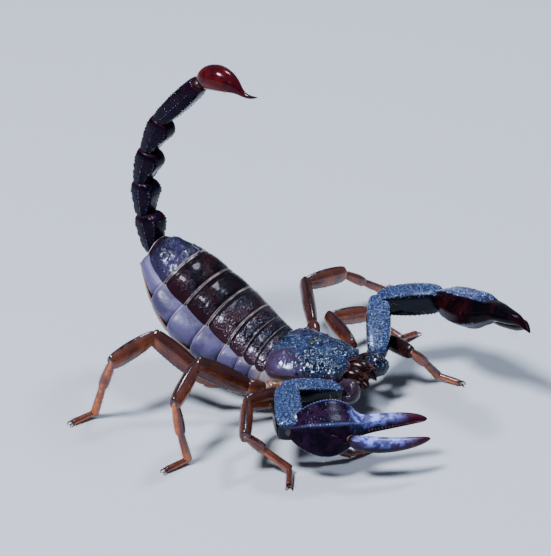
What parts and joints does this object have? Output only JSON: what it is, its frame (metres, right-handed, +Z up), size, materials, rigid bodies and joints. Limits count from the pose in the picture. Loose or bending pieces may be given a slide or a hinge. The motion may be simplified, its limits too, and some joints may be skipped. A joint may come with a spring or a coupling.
{
  "type": "scorpion",
  "caption": "Still, life-size scorpion that stands on its legs with its tail arched over its back and both pincers held forward.",
  "frame": {"origin": "middle of the model's bounding box, on the floor under the feet", "axes": "+Z up, the head faces -Y, the animal's left side is towards +X"},
  "size_m": [0.0404, 0.0414, 0.0316],
  "materials": {
    "shield_plate": "granulated blue-black chitin",
    "eye_lens": "smooth black lens",
    "tergite_plate": "glossy maroon-brown chitin between grey-violet flanks",
    "tail_plate": "glossy near-black chitin with granulated keels",
    "telson_plate": "glossy deep red chitin",
    "leg_plate": "glossy red-brown chitin",
    "palp_plate": "granulated blue-black chitin",
    "hand_plate": "glossy purple-brown chitin with pale keels",
    "pectine_plate": "matt cream chitin"
  },
  "bodies": {
    "root": {"prosoma": "shield_plate", "median_eye_l": "eye_lens", "median_eye_r": "eye_lens", "chelicera_l": "leg_plate", "chelicera_r": "leg_plate", "mesosoma_1": "tergite_plate", "mesosoma_2": "tergite_plate", "mesosoma_3": "tergite_plate", "mesosoma_4": "tergite_plate", "mesosoma_5": "tergite_plate", "mesosoma_6": "tergite_plate", "mesosoma_7": "tergite_plate", "pectine_l": "pectine_plate", "pectine_r": "pectine_plate", "metasoma_1": "tail_plate", "metasoma_2": "tail_plate", "metasoma_3": "tail_plate", "metasoma_4": "tail_plate", "metasoma_5": "tail_plate", "telson_vesicle": "telson_plate", "telson_sting": "telson_plate", "palp_l_trochanter": "palp_plate", "palp_l_femur": "palp_plate", "palp_l_patella": "palp_plate", "palp_l_hand": "hand_plate", "palp_l_finger": "hand_plate", "palp_r_trochanter": "palp_plate", "palp_r_femur": "palp_plate", "palp_r_patella": "palp_plate", "palp_r_hand": "hand_plate", "palp_r_finger": "hand_plate", "leg_l1_femur": "leg_plate", "leg_l1_patella": "leg_plate", "leg_l1_foot": "leg_plate", "leg_l2_femur": "leg_plate", "leg_l2_patella": "leg_plate", "leg_l2_foot": "leg_plate", "leg_l3_femur": "leg_plate", "leg_l3_patella": "leg_plate", "leg_l3_foot": "leg_plate", "leg_l4_femur": "leg_plate", "leg_l4_patella": "leg_plate", "leg_l4_foot": "leg_plate", "leg_r1_femur": "leg_plate", "leg_r1_patella": "leg_plate", "leg_r1_foot": "leg_plate", "leg_r2_femur": "leg_plate", "leg_r2_patella": "leg_plate", "leg_r2_foot": "leg_plate", "leg_r3_femur": "leg_plate", "leg_r3_patella": "leg_plate", "leg_r3_foot": "leg_plate", "leg_r4_femur": "leg_plate", "leg_r4_patella": "leg_plate", "leg_r4_foot": "leg_plate"}
  },
  "joints": []
}
